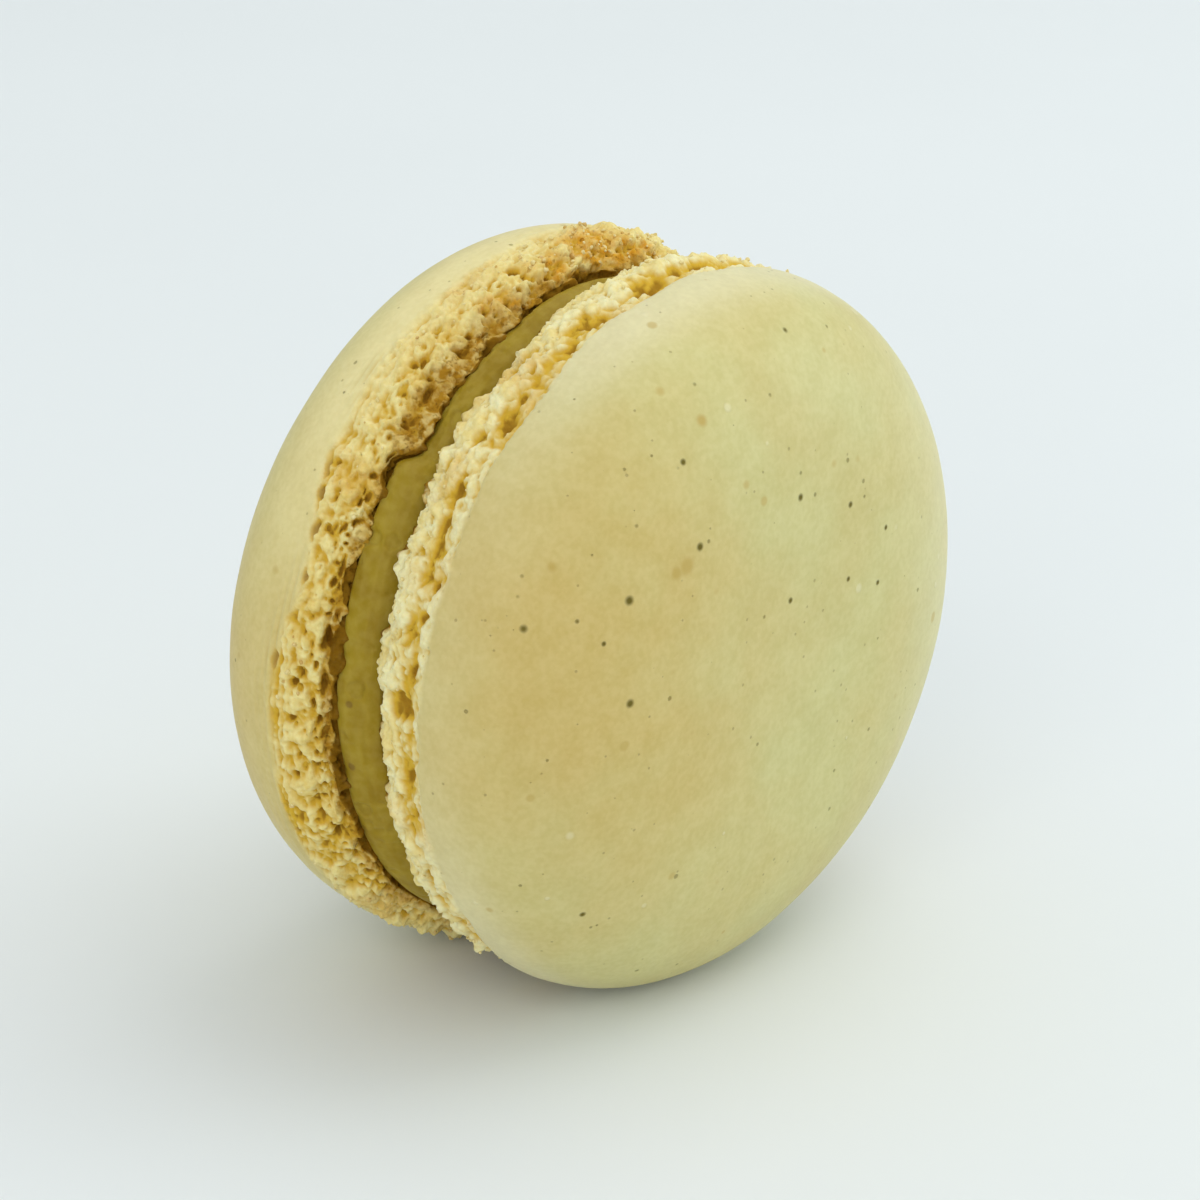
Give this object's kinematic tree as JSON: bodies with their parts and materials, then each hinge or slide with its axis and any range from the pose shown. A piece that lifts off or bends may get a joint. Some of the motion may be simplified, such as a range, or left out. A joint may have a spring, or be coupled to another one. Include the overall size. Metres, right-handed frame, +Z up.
{
  "type": "french macaron",
  "caption": "Round filled almond macaron standing on its edge: domed smooth shells with crumbly feet around a thin disc of filling.",
  "frame": {"origin": "centre of the bounding box at its base, on the surface the macaron stands on", "axes": "+Z up; the round axis lies along Y and the front shell's dome faces -Y; +X is to the right when the front shell is looked at"},
  "size_m": [0.047, 0.0306, 0.0452],
  "materials": {
    "shell": "dry satin baked almond meringue, smooth on the dome and crumbly on the foot",
    "filling": "smooth soft pistachio-coloured cream with a faint sheen"
  },
  "bodies": {
    "root": {"front_shell": "shell", "filling": "filling", "back_shell": "shell"}
  },
  "joints": []
}
